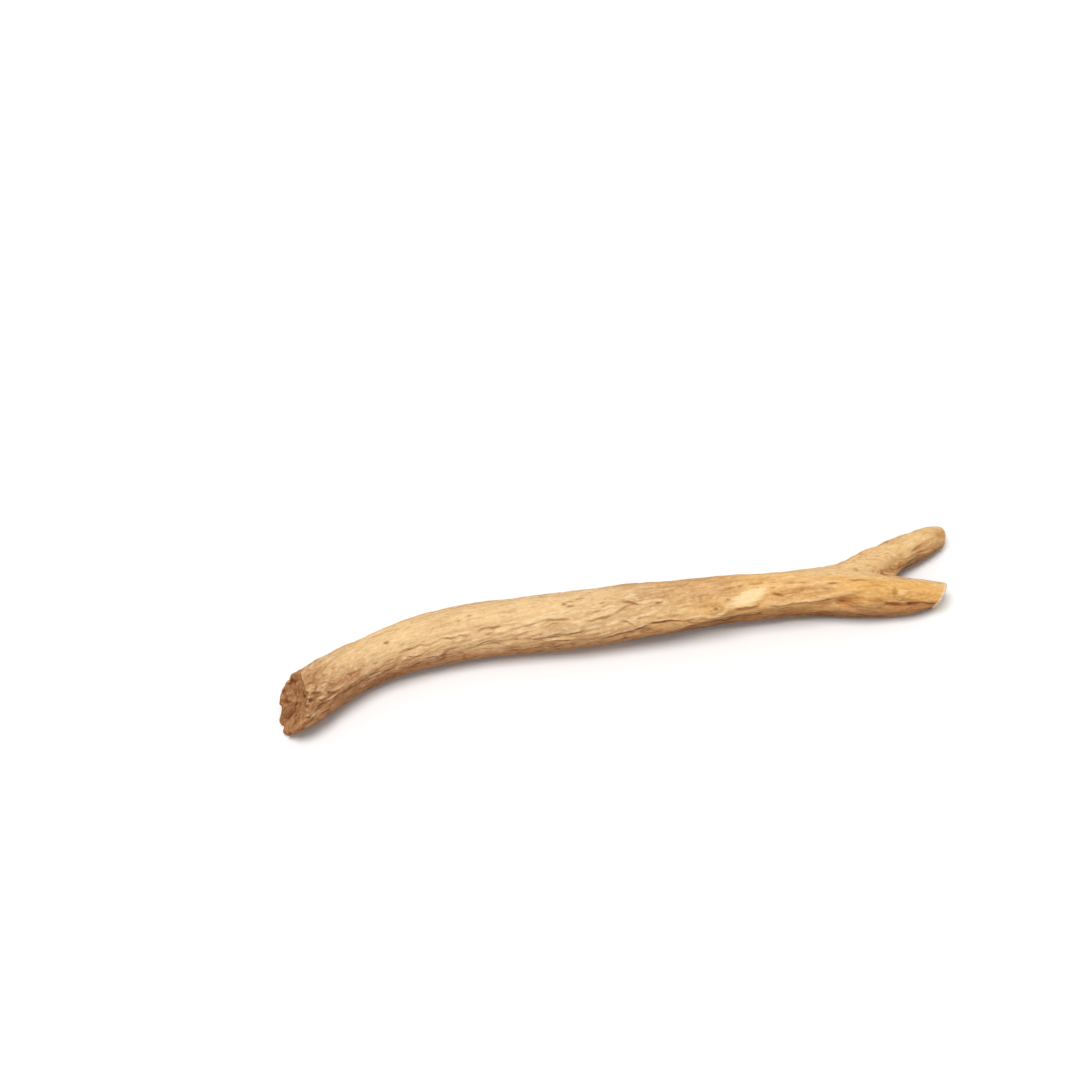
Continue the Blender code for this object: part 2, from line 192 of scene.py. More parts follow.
# Single fine lines: half width, height, then places along the root and degrees round it
FINE_LINES = (
    (0.18, -0.14, (19.2, 46), (20.7, 44), (22.8, 46), (23.6, 44), (25.3, 49), (26.5, 45), (28.3, 44),
     (29.8, 46), (30.7, 44), (31.7, 46), (33.4, 40), (34.3, 38), (36.4, 36), (39.5, 33)),
    (0.15, -0.11, (28.8, 37), (29.8, 34), (30.5, 34), (31.8, 32)),
    (0.18, -0.13, (34.5, 52), (36.1, 50), (38.2, 52), (39.6, 46), (41.3, 42), (43, 40), (44.2, 36),
     (46, 33), (48.9, 34), (49.9, 36), (51.7, 34), (53.5, 35)),
    (0.19, -0.12, (37, 67), (38.8, 67), (39.6, 66), (41.2, 58), (43, 54)),
    (0.15, -0.09, (26.5, 84), (28.2, 83), (29.4, 84), (30.7, 92), (33, 100)),
    (0.16, -0.12, (20.6, 60), (22.3, 66), (24, 67)),
    (0.16, -0.11, (20.2, 76), (21.6, 78), (23, 78)),
    (0.15, -0.1, (33, 80), (34.7, 70), (36.4, 62)),
    (0.16, -0.13, (51.6, 32), (53.8, 28), (55.2, 27)),
    (0.15, -0.11, (54.6, 28), (55.9, 24), (57, 21)),
    (0.19, -0.2, (51.2, 42), (53.9, 42), (55.8, 40), (57.6, 34), (58.8, 26), (60.8, 23)),
    (0.18, -0.17, (57.5, 18), (59, 17), (59.8, 19), (61.2, 27), (62.3, 30), (63.7, 25)),
    (0.19, -0.18, (63.6, 26), (65.4, 28)),
    (0.17, -0.12, (44.2, 49), (45.7, 46), (46.7, 42), (48.3, 42)),
    (0.15, -0.1, (42.2, 64), (43.9, 61), (45.5, 60)),
    (0.17, -0.14, (46, 70), (47.4, 67), (48.6, 70), (49.4, 67), (51, 65)),
    (0.19, -0.15, (50.5, 79), (52, 76), (53.7, 72), (55, 71)),
    (0.2, -0.2, (53.4, 86), (54.9, 87), (57.4, 82), (59.7, 78), (60.9, 74), (63, 71), (65, 70), (66.9, 70),
     (68.5, 72)),
    (0.18, -0.16, (57.2, 52), (58.6, 56), (60, 63)),
    (0.18, -0.17, (60, 56), (61.4, 55), (63.2, 54)),
    (0.18, -0.16, (62.5, 68), (64.4, 72), (66, 67)),
    (0.2, -0.2, (67.9, 67), (69.5, 70), (71.6, 71), (73.7, 76), (75.4, 73)),
    (0.24, -0.22, (74.4, 74), (75.9, 68), (77.6, 61), (79.4, 60), (80.4, 60), (82, 50)),
    (0.16, -0.12, (68, 78), (69.9, 86), (71.3, 96), (73.5, 98)),
    (0.18, -0.14, (73.6, 94), (75.7, 104), (77.5, 94), (80.4, 95)),
    (0.18, -0.15, (82.5, 60), (85.9, 62), (89.4, 61), (92, 58), (93.4, 56), (94.6, 52), (96.3, 46),
     (98, 38), (99.5, 32)),
    (0.17, -0.12, (99.3, 31), (100.7, 23), (102.8, 14), (104, 8)),
    (0.32, -0.1, (85, 32), (87.7, 30), (90.3, 26), (92, 26), (92.9, 32), (95.2, 29)),
    (0.16, -0.09, (84.5, 6), (87.6, 10), (91.5, 15)),
    (0.17, -0.12, (96, 6), (98.1, 4), (99.3, 0), (100.7, -3), (102.5, -12)),
    (0.17, -0.06, (106.2, 31), (107.8, 27), (109.2, 28), (111, 32)),
    (0.15, -0.1, (7.4, 29), (8.7, 35), (9.5, 36), (11, 45)),
    (0.15, -0.1, (12, 50), (13.6, 63), (15.6, 68)),
    (0.16, -0.11, (4, 23), (5.4, 28), (6.3, 40), (8, 44)),
    (0.22, -0.18, (2, 30), (3.2, 40), (4.2, 48)),
    (0.22, -0.2, (4.4, 40), (4.9, 50), (5.3, 57), (6.4, 60)),
    (0.17, -0.11, (12, 62), (17, 74), (21, 68), (26, 78), (29, 80)),
    (0.3, 0.05, (81.5, 50), (85.9, 54), (88.5, 54), (91.1, 51), (93.7, 44), (95.4, 39), (98.5, 30)),
    (0.22, 0.05, (0, 40), (4, 47), (7, 52), (10, 61), (12, 64)),
    (0.17, -0.12, (8, 120), (20, 140), (34, 150), (46, 168)),
    (0.19, -0.13, (22, 196), (36, 214), (52, 222), (60, 240)),
    (0.19, -0.13, (48, 250), (62, 276), (78, 290), (92, 318)),
    (0.17, -0.12, (12, 262), (26, 290), (40, 306), (52, 312)),
    (0.17, -0.12, (64, 176), (78, 170), (92, 190), (100, 200)),
)
LINE_FADE = (0.3, 2.0)  # how much of a line dies out at each end: as a share of it, and at most
LIP = (1.8, 0.45)  # the raised lip over a fine line, with a painted highlight on it: how many half widths from it, and its share
LINE_DARK = 0.14  # the depth of a fine line whose painted shade is quite dark, and the height of a raised line or lip whose painted highlight is whole
WRINKLE_DARK = 0.12  # the depth of a wrinkle whose painted shade is quite dark
FOLD_DARK = 0.24  # the depth of a fold whose painted shade is quite dark
LINE_WANDER = ((2.4, 0.30), (0.8, 0.16))  # how a fine line strays: over what length, and how far
LINE_BROKEN = (2.0, 0.75, 1.3, 1.2)  # its depth: over what length, its middle, its change, its most
LINES_APART = (3.1, 5.7)  # how far apart the noises of two lines are read: of their way, of their depth
BROKEN_SEED = 4.0  # where the noise of a line's depth is read
# Places where the bark is marked: along, degrees, length, width, lean in degrees, strength
SCRAPES = (
    (80, 34, 3, 1.12, -14, 1),
    (76.4, 50, 1.8, 0.6, -30, 0.4),
    (62, 24, 1.2, 0.35, 0, 0.4),
    (65.2, 29, 1, 0.3, 0, 0.4),
    (100.8, 318, 0.9, 0.5, 0, 0.45),
)
BRANCH_SCRAPES = (
    (108.5, 12, 1.2, 0.5, 10, 0.35),
    (110.5, 350, 1.4, 0.6, 0, 0.3),
)
STAINS = (
    (96.8, 61, 2, 1.2, -18, 1),
    (91, 66, 3.2, 0.4, 0, 0.45),
    (89.5, 40, 3.6, 0.2, -4, 0.35),
    (98.8, 40, 2, 0.3, -30, 0.35),
    (102.4, 34, 2.4, 0.35, 8, 0.3),
    (98.6, 320, 0.6, 0.4, 0, 0.8),
    (107.8, 77, 5.4, 0.75, 0, 0.65),
    (84.8, 36, 1.5, 0.45, 12, 0.5),
)
BRANCH_STAINS = (
    (106.5, 66, 0.9, 0.5, 20, 0.6),
    (115.3, 22, 1.3, 1, 0, 0.7),
    (112.4, 60, 3.6, 0.35, 0, 0.5),
    (110.1, 40, 1.3, 0.4, -3, 0.75),
    (112.7, 33, 1.7, 0.32, -6, 0.5),
)
SCARS = (
    (48.9, 3, 0.34, 0.34, 0, 0.85),
    (49.8, -2, 0.6, 0.14, 0, 0.6),
    (50, 9, 0.6, 0.18, 0, 0.85),
    (13, 90, 9, 2, 6, 0.28),
    (84.7, 36, 1.1, 0.26, 14, 0.75),
    (87, 36, 1.6, 0.14, 0, 0.4),
    (76.9, 10, 0.9, 0.24, -6, 0.5),
    (78.6, 8, 0.5, 0.24, 0, 0.7),
    (81.4, 5, 1.1, 0.2, 0, 0.5),
    (84, 19, 0.7, 0.15, 0, 0.6),
    (94.3, 16, 0.9, 0.25, -6, 0.7),
    (104.9, 31, 0.42, 0.95, 0, 0.6),
    (106.1, 45, 0.95, 0.28, 0, 0.5),
    (107.1, 18, 0.5, 0.2, 0, 0.4),
    (107.6, 53, 1.3, 0.2, 0, 0.35),
    (105.2, 70, 1.9, 0.32, 4, 0.95),
    (108.1, 69, 2.1, 0.32, -3, 1),
    (111.2, 72, 1.8, 0.26, 10, 1),
    (18.5, 12, 0.5, 0.3, 8, 0.9),
    (1.5, 44, 0.5, 0.42, 30, 1),
    (0.4, 52, 0.4, 0.32, 0, 0.9),
    (71.4, 97, 0.5, 0.28, 0, 0.7),
    (75.8, 104, 0.6, 0.2, 0, 0.6),
    (76.2, 36, 0.25, 0.22, 0, 0.7),
    (74, 53, 0.4, 0.22, 0, 0.8),
    (51.7, -8, 0.8, 0.14, 0, 0.6),
    (53.8, -3, 0.3, 0.12, 0, 0.5),
    (55.4, 10, 0.4, 0.15, -10, 0.6),
    (31.1, 10, 0.35, 0.2, 0, 0.5),
    (32.9, 4, 0.6, 0.14, -10, 0.5),
    (10.4, 27, 0.25, 0.2, 0, 0.5),
    (8.1, 10, 0.3, 0.2, 0, 0.5),
    (13.1, 39, 0.3, 0.15, 0, 0.6),
    (15.4, 46, 0.4, 0.15, 0, 0.6),
    (33, 190, 0.8, 0.3, 0, 0.8),
    (71, 250, 0.9, 0.4, 0, 0.8),
    (16, 318, 0.7, 0.35, 0, 0.8),
)
BRANCH_SCARS = (
    (109.8, 41, 0.8, 0.2, -3, 0.6),
    (106.9, 42, 0.5, 0.34, 0, 0.4),
)
# Small raised flakes with a painted highlight on them, in the same measures
FLAKES = (
    (67.1, 64, 0.7, 0.26, -25, 1),
    (70.7, 65, 1.4, 0.2, -5, 0.9),
    (74, 66, 1.5, 0.36, -5, 0.9),
    (67.5, 88, 1.6, 0.18, -10, 0.8),
    (29.9, 41, 0.5, 0.2, 0, 0.8),
    (38.6, 42, 1.3, 0.2, -10, 0.6),
    (55, 74, 1.1, 0.2, -10, 1),
    (60, 6, 0.9, 0.45, -20, 0.8),
    (62.6, 21, 0.6, 0.36, 0, 0.7),
    (43, 30, 1, 0.55, -6, 0.8),
    (43.6, 40, 0.9, 0.24, -8, 0.7),
    (40.9, 51, 1.1, 0.22, -8, 0.7),
    (45.8, 62, 1.2, 0.26, -8, 0.8),
    (46.4, 75, 1, 0.22, -6, 0.7),
    (49.8, 63, 1.3, 0.24, -10, 0.9),
    (50.6, 42, 0.9, 0.24, 0, 0.7),
    (52.8, 59, 1.2, 0.22, -8, 0.9),
    (56.2, 24, 1.3, 0.26, -12, 0.7),
    (56.4, 56, 1.1, 0.26, -10, 0.9),
    (59.2, 60, 1, 0.26, -14, 0.9),
    (61.4, 53, 1.3, 0.28, -14, 1),
    (63.4, 45, 1, 0.26, -14, 0.9),
    (64.3, 22, 0.9, 0.3, -8, 0.9),
    (37.2, 49, 1, 0.22, -8, 0.6),
    (33.6, 58, 1.1, 0.22, -8, 0.7),
    (30.8, 52, 0.9, 0.22, -8, 0.7),
    (47, 24, 2.6, 0.5, 0, 0.4),
    (49.9, 3.5, 0.45, 0.22, 0, 0.9),
    (106.4, 26, 0.9, 0.42, -12, 0.8),
    (5.4, 66, 0.9, 0.22, 0, 0.9),
    (3.4, 54, 0.8, 0.22, 10, 0.8),
    (0.9, 30, 0.6, 0.5, 40, 0.7),
    (15, 74, 1.6, 0.18, 0, 0.7),
    (12.5, 56, 0.8, 0.16, 0, 0.3),
    (33, 81, 7, 1, -3, 0.18),
)
MARK_EDGE = (1.25, 0.75)  # where a mark begins and where it is whole, as shares of its size
SOFT_EDGE = (1.45, 0.45)  # the same for scars and stains
MARK_RAGGED = (1.9, 0.28, 17, 0.45)  # a mark's ragged edge: length, width, noise, share
MARK_KINDS = (("scrapes", MARK_EDGE), ("stains", SOFT_EDGE), ("scars", SOFT_EDGE), ("flakes", MARK_EDGE))
SCAR_DEPTH = 0.10
FLAKE_HEIGHT = 0.08
RUBBED = 0.8  # how much of the fine relief is gone where the bark is scraped
# The darker flank under the ridge that runs to the fork, partly the bark's own darker colour and partly
# painted shade: places along, degrees where it begins
FLANK = (
    (60, 82), (66, 73), (72, 79), (77, 80), (81, 81), (85, 84), (90, 85), (96, 76), (101, 59), (106, 52),
    (110, 54), (116, 72),
)
BRANCH_FLANK = ((100, 120), (106.5, 100), (108, 72), (110, 66), (112, 62), (114, 70), (118, 84))
FLANK_EDGE = (-4.0, 24.0)  # degrees past the ridge where the flank begins and where it is whole
FLANK_ENDS = (55.0, 65.0)  # along the stem, where the flank begins and where it is whole
BRANCH_FLANK_ENDS = (105.0, 108.0)
FLANK_BACK = (150.0, 185.0)  # degrees where it fades under the root
FLANK_RAGGED = (2.6, 0.5, 21, 9.0)  # its ragged edge: length, width, noise, degrees
# A fainter one before it, under the long wavy line
LEDGE = ((20, 46), (28, 45), (36, 50), (41, 43), (46, 34), (53, 36), (57, 35), (61, 26), (70, 40))
LEDGE_ENDS = (42.0, 52.0)
LEDGE_LOW = (72.0, 95.0)  # degrees past it where it has faded into the side
LEDGE_SHARE = 0.32
# Warm bark: its share, and where along the root it begins and where it is whole
WARM = ((0.64, 53.0, 82.0), (0.42, 93.0, 103.0))
BRANCH_WARM = ((0.26, 90.0, 98.0),)
PALER = 0.8  # how much less warm the back of the stem is, by the branch
PALER_ROUND = (270.0, 98.0, 58.0)  # its middle in degrees, and how far it reaches and is whole
PALER_FROM = (80.0, 92.0)
RUDDY = (18.0, -4.0)  # along the root, where the ruddy tone ends and where it is whole: partly the bark's own browner colour, partly painted shade
RUDDY_LOW = 20.0  # how far along it reaches on the low side, as painted shade
BROWN_TOP = (0.45, 54.0, 62.0, 75.0, 82.0)  # a browner tone on top: its share, where it starts and ends
BROWN_ROUND = (-30.0, 75.0, 50.0)

PLACE = ("x", "y", "z")
GRAIN = ("along", "grain_back", "grain_up")
MARKS = ("level", "crest", "crease", "brown_shaded_flank", "warm", "ruddy", "scrape", "stain", "scar", "cut")
COLUMNS = PLACE + GRAIN + MARKS


def setting(name, description, usual, least=0.0, **more):
    """A property that holds a number."""
    return FloatProperty(name=name, description=description, default=usual, min=least, **more)


def factor(name, description, usual, most):
    """A property that holds a share."""
    return setting(name, description, usual, max=most, subtype="FACTOR")


def colour(name, description, *usual):
    """A property that holds a colour."""
    return FloatVectorProperty(
        name=name, description=description, default=usual, min=0.0, max=1.0, subtype="COLOR"
    )


class RootShape(bpy.types.PropertyGroup):
    """How finely the root is made, and how deep its fine relief is."""

    around: IntProperty(
        name="Points round",
        description="Points round the stem. Each arm has half as many",
        default=232,
        min=24,
        step=2,
    )
    ring_gap: setting("Ring gap", "From one ring of points to the next, in millimetres", 0.32, 0.1)
    wrinkles: factor("Wrinkles", "Depth of the fine wrinkles, as a share of their usual depth", 1.0, 2.0)
    lumps: factor("Lumps", "Height of the small lumps, as a share of their usual height", 1.0, 2.0)


class BarkFinish(bpy.types.PropertyGroup):
    """The colours of the bark and of the wood under it, and of the painted light and shade on the bark."""

    # Top and flank: lighter bark on top and browner bark below, partly the bark's own colour and partly
    # painted light and shade
    top: colour("Top", "Bark on the upper side", 0.81, 0.545, 0.268)
    brown_shaded_flank: colour("Flank", "Bark on the sides and below", 0.57, 0.31, 0.13)
    warm: colour("Warm", "Orange bark toward the fork", 0.81, 0.44, 0.13)
    # Ruddy: the browner tone near the broken end, partly painted shade on its low side; also browner
    # patches and flecks
    ruddy: colour("Ruddy", "Browner, pinkish bark", 0.53, 0.265, 0.115)
    # Pale: the bark's pale flecks and streaks, and the painted highlight on high lumps, on the lips of
    # fine lines, on raised lines and on flakes
    pale: colour("Pale", "Pale flecks and worn edges of the bark", 0.93, 0.72, 0.44)
    # Shade: painted shade in wrinkles, folds, fine lines, cracks and the pits of the ends, and the bark's
    # own dark streaks and flecks
    shade: colour("Shade", "Tint of wrinkles and dark flecks", 0.46, 0.31, 0.21)
    # Under: painted shade on the low side, and the tint of the darker flank, which is partly its own
    # colour and partly painted shade
    under: colour("Under", "Tint of the flank and of the low side", 0.575, 0.47, 0.42)
    scrape: colour("Scrape", "Pale wood where the bark is rubbed off", 0.88, 0.665, 0.36)
    stain: colour("Stain", "Reddish brown patches", 0.50, 0.19, 0.05)
    scar: colour("Scar", "Tint of the scars of fine rootlets", 0.40, 0.27, 0.16)
    cut: colour("Cut", "Cut wood at the ends of the arms", 0.88, 0.68, 0.44)
    torn: colour("Torn", "Weathered wood of the broken end", 0.43, 0.215, 0.09)
    roughness: factor("Roughness", "How matt the bark is", 0.82, 1.0)


class StudioSettings(bpy.types.PropertyGroup):
    """The floor, the light and the camera."""

    floor: colour("Floor", "The studio floor", 0.92, 0.92, 0.92)
    floor_size: setting("Floor size", "Side of the square floor", 6.0, 0.5, unit="LENGTH")
    key_strength: setting("Key light", "Strength of the large light above the root", 2.2)
    sky_strength: setting("Sky light", "Strength of the even light from all round", 0.5)
    lens: setting("Lens", "Focal length of the camera, in millimetres", 90.0, 10.0)


def read_line(rows, at=None):
    """Rows of numbers as smooth curves of the length in plan, read at the given lengths."""
    rows = np.array(rows, float)
    steps = np.hypot(*np.diff(rows[:, :2], axis=0).T)
    knots = np.concatenate([[0.0], np.cumsum(steps)])
    slopes = np.gradient(rows, knots, axis=0)
    if at is None:
        at = np.linspace(0.0, knots[-1], int(knots[-1] / LINE_STEP))
    i = np.clip(np.searchsorted(knots, at, side="right") - 1, 0, len(knots) - 2)
    span = (knots[i + 1] - knots[i])[:, None]
    u = (at - knots[i])[:, None] / span
    return at, (
        rows[i] * (1 + 2 * u) * (1 - u) ** 2
        + rows[i + 1] * u**2 * (3 - 2 * u)
        + slopes[i] * span * u * (1 - u) ** 2
        + slopes[i + 1] * span * u**2 * (u - 1)
    )


def ease(low, high, x):
    """0 below low, 1 above high, smooth between. Low may be the larger of the two."""
    t = np.clip((x - low) / (high - low), 0.0, 1.0)
    return t * t * (3 - 2 * t)


def unit(vectors):
    return vectors / np.linalg.norm(vectors, axis=-1, keepdims=True)


def axes_of(ahead):
    """The axes across each direction: back, level, and up."""
    back = unit(np.cross((0.0, 0.0, 1.0), ahead))
    return ahead, back, np.cross(ahead, back)


def turned(degrees, centre):
    """The angle from centre to degrees, from -180 to 180."""
    return (degrees - centre + 180.0) % 360.0 - 180.0


def drawn_in(distance, rim):
    """How far the surface draws in at a distance from the edge of an end that is rounded by rim."""
    t = 1.0 - np.clip(distance / rim, 0.0, 1.0)
    return rim * (1.0 - np.sqrt(1.0 - t**2))


def stations(length, rim, ring_gap):
    """Lengths for the rings from 0 to the given length, with more at the rounded edge at 0."""
    first = np.array(EDGE_RINGS) * rim
    rest = np.linspace(rim, length, round((length - rim) / ring_gap) + 1)
    return np.concatenate([first, rest[1:]])


def ray_out(origin, centre, radii, rays):
    """How far each ray from origin runs before it leaves an ellipse. It is 0 where it misses."""
    p = (origin - centre) / radii
    d = rays / radii
    a = (d**2).sum(1)
    b = d @ p
    inside = np.maximum(b**2 - a * (p @ p - 1.0), 0.0)
    return np.maximum((np.sqrt(inside) - b) / a, 0.0)


class Places:
    """Where the points of one ring lie: along the root, in its grain, and round its centre line."""

    def __init__(self, along, across, radius, offset):
        twist = np.radians(TWIST) * along
        back, up = (across + offset).T
        grain_back = np.cos(twist) * back - np.sin(twist) * up
        grain_up = np.sin(twist) * back + np.cos(twist) * up
        self.along = along
        self.grain = np.column_stack([grain_back, grain_up])
        self.degrees = np.degrees(np.arctan2(-across[:, 0], across[:, 1])) % 360.0
        self.arc = np.radians(1.0) * radius
        self.level = across[:, 1] / radius
        self.top = ease(*TOP, self.level)

    def ripple(self, length, width, seed):
        """Noise that is drawn out along the grain."""
        steps = np.column_stack([self.along / length + seed, self.grain / width])
        return np.array([noise.noise(step) for step in steps.tolist()])

    def past(self, line):
        """Degrees past a line, which is given by places along the root and degrees round it."""
        at, angles = np.array(line, float).T
        return turned(self.degrees, np.interp(self.along, at, angles))

    def on_line(self, line, width, fade, stray=0.0):
        """1 on a line, 0 away from it, and smooth between. It strays from its way by a distance."""
        start, end = line[0][0], line[-1][0]
        if self.along.max() < start or self.along.min() > end:
            return np.zeros(len(self.along))
        away = self.arc * self.past(line) + stray
        ends = ease(start, start + fade, self.along) - ease(end - fade, end, self.along)
        return ends * np.exp(-((away / width) ** 2))

    def on_side(self, centre, reach, whole):
        """1 round one side of the root, within so many degrees of its centre, and 0 past its reach."""
        return ease(reach, whole, np.abs(turned(self.degrees, centre)))

    def marked(self, marks, edge):
        """How strongly the bark is marked, from 0 to 1, by any of the marks."""
        *scales, ragged = MARK_RAGGED
        out = np.zeros(len(self.along))
        for place, angle, length, width, lean, strength in marks:
            if np.abs(self.along - place).min() > 2 * (length + width):
                continue
            c, s = math.cos(math.radians(lean)), math.sin(math.radians(lean))
            ahead, side = self.along - place, self.arc * turned(self.degrees, angle)
            away = np.hypot((c * ahead + s * side) / length, (c * side - s * ahead) / width)
            out = np.maximum(out, strength * ease(*edge, away + ragged * self.ripple(*scales)))
        return out


def line_noise(along, length, apart, seed):
    """Noise that changes along a fine line."""
    return noise.noise((along / length, apart, seed))


class Bark:
    """The relief and the marks of one part of the root: the stem with its arm, or the branch."""

    def __init__(self, shape, rows):
        self.shape, self.rows = shape, rows

    def ring(self, along, across, radius, gap, offset):
        """How far the surface stands out along one ring, and the columns of its grain and marks."""
        places = Places(along, across, radius, offset)
        scrape, stain, scar, flake = (places.marked(self.rows[kind], edge) for kind, edge in MARK_KINDS)
        wrinkled, wrinkle_shading = self.fine_wrinkles(places)
        folded, fold_shading = self.folds(places)
        lined, line_shading, line_highlight = self.fine_lines(places)
        kept = 1.0 - RUBBED * scrape
        height = self.main_relief(places)
        height += (wrinkled + folded + lined) * kept - SCAR_DEPTH * scar + FLAKE_HEIGHT * flake
        lumps = sum(high * places.ripple(*scales) for *scales, high in LUMPS)
        height += self.shape.lumps * lumps
        # Painted highlight on high lumps, on the lips of fine lines, on raised lines and on flakes
        crest = ease(*CREST, lumps / LUMPS[0][-1]) * CREST_PALE + line_highlight + flake
        # Painted shade in the wrinkles, folds and fine lines, for their depth
        crease = (wrinkle_shading + fold_shading + line_shading) * kept
        marks = [np.clip(crest, 0.0, 1.0), np.clip(crease, 0.0, 1.0), self.brown_shaded_flank(places)]
        marks += [*self.tones(places), scrape, stain, scar, np.zeros(len(along))]
        worn = ease(*UNDERSIDE, -places.level) * (1.0 - ease(*WORN_GAP, gap))
        return height * (1.0 - worn), np.column_stack([along, places.grain, places.level, *marks])

    def main_relief(self, places):
        """The relief that the solid has as well."""
        *scales, height = SWELLS
        out = height * places.ripple(*scales)
        *scales, height = RIBS
        ribs = np.abs(places.ripple(*scales)) - RIB_MIDDLE
        out += height * (1.0 - SMOOTH_TOP * places.top) * ribs
        for place, angle, size, height in self.rows["knots"]:
            away = np.hypot(places.along - place, places.arc * turned(places.degrees, angle))
            out += height * np.exp(-((away / size) ** 2))
        for width, height, *line in self.rows["creases"]:
            out += height * places.on_line(line, width, CREASE_FADE)
        return out

    def fine_wrinkles(self, places):
        """The height of the fine wrinkles, and the painted shade in them."""
        height, dark = np.zeros((2, len(places.along)))
        for length, width, seed, thin, depth, common in WRINKLES:
            patch = places.ripple(*WRINKLE_PATCH, seed + PATCH_APART)
            wrinkle = np.exp(-((places.ripple(length, width, seed) / thin) ** 2))
            wrinkle *= ease(*PATCH_EDGE, patch + common)
            wrinkle *= 1.0 - SMOOTHER_TOP * places.top
            height -= depth * wrinkle
            dark += wrinkle * depth / WRINKLE_DARK
        return height * self.shape.wrinkles, dark

    def folds(self, places):
        """The height of the crumpled bark near the broken end, and the painted shade in its folds."""
        near = 1.0 - ease(*FOLDED, places.along)
        if not near.any():
            return np.zeros((2, len(near)))
        *scales, height = FOLD_LUMPS
        out = height * places.ripple(*scales)
        dark = np.zeros(len(near))
        for *scales, thin, depth in FOLDS:
            fold = np.exp(-((places.ripple(*scales) / thin) ** 2))
            out -= depth * fold
            dark += fold * depth / FOLD_DARK
        return out * near * self.shape.wrinkles, dark * near

    def fine_lines(self, places):
        """The height of the single fine lines, the painted shade in them, and the painted highlight on
        their lips and on the raised lines.
        """
        height, dark, pale = np.zeros((3, len(places.along)))
        middle = places.along.mean()
        way_apart, depth_apart = LINES_APART
        over, usual, change, deepest = LINE_BROKEN
        lip_at, lip_share = LIP
        share, most = LINE_FADE
        for number, (width, depth, *line) in enumerate(self.rows["lines"]):
            stray = sum(
                far * line_noise(middle, length, way_apart * number, far) for length, far in LINE_WANDER
            )
            strength = usual + change * line_noise(middle, over, depth_apart * number, BROKEN_SEED)
            strength = min(max(strength, 0.0), deepest)
            fade = min(share * (line[-1][0] - line[0][0]), most)
            cut = places.on_line(line, width, fade, stray) * strength
            height += depth * cut
            if depth > 0.0:
                pale += cut * depth / LINE_DARK
                continue
            lip = places.on_line(line, width, fade, stray + lip_at * width) * strength
            height -= lip_share * depth * lip
            dark -= cut * depth / LINE_DARK
            pale -= lip_share * lip * depth / LINE_DARK
        return height * self.shape.wrinkles, dark, pale

    def brown_shaded_flank(self, places):
        """How much of the darker bark under the ridge there is, from 0 to 1: partly its own darker colour,
        partly painted shade.
        """
        *scales, most = FLANK_RAGGED
        ragged = most * places.ripple(*scales)
        along_flank = ease(*self.rows["flank_ends"], places.along)
        below = 1.0 - ease(*FLANK_BACK, places.degrees)
        whole = ease(*FLANK_EDGE, places.past(self.rows["brown_shaded_flank"]) + ragged) * below * along_flank
        past = places.past(LEDGE) + ragged
        ledge = ease(*FLANK_EDGE, past) * (1.0 - ease(*LEDGE_LOW, past))
        ledge *= ease(*LEDGE_ENDS, places.along) * (1.0 - ease(*FLANK_ENDS, places.along))
        return np.maximum(whole, LEDGE_SHARE * ledge)

    def tones(self, places):
        """How much of the warm bark there is, and of the ruddy tone, from 0 to 1. The ruddy tone is partly
        painted shade, reaching farther on the low side.
        """
        along = places.along
        warm = sum(share * ease(*ends, along) for share, *ends in self.rows["warm"])
        warm *= 1.0 - self.rows["paler"] * places.on_side(*PALER_ROUND) * ease(*PALER_FROM, along)
        ruddy = ease(*RUDDY, along - RUDDY_LOW * (1.0 - places.level))
        share, start, full, going, gone = BROWN_TOP
        brown = share * ease(start, full, along) * (1.0 - ease(going, gone, along))
        return warm, np.maximum(ruddy, brown * places.on_side(*BROWN_ROUND))


STEM_BARK = {
    "knots": STEM_KNOTS,
    "creases": CREASES,
    "lines": FINE_LINES,
    "scrapes": SCRAPES,
    "stains": STAINS,
    "scars": SCARS,
    "flakes": FLAKES,
    "brown_shaded_flank": FLANK,
    "flank_ends": FLANK_ENDS,
    "warm": WARM,
    "paler": PALER,
}
BRANCH_BARK = {
    "knots": BRANCH_KNOTS,
    "creases": (),
    "lines": (),
    "scrapes": BRANCH_SCRAPES,
    "stains": BRANCH_STAINS,
    "scars": BRANCH_SCARS,
    "flakes": (),
    "brown_shaded_flank": BRANCH_FLANK,
    "flank_ends": BRANCH_FLANK_ENDS,
    "warm": BRANCH_WARM,
    "paler": 0.0,
}


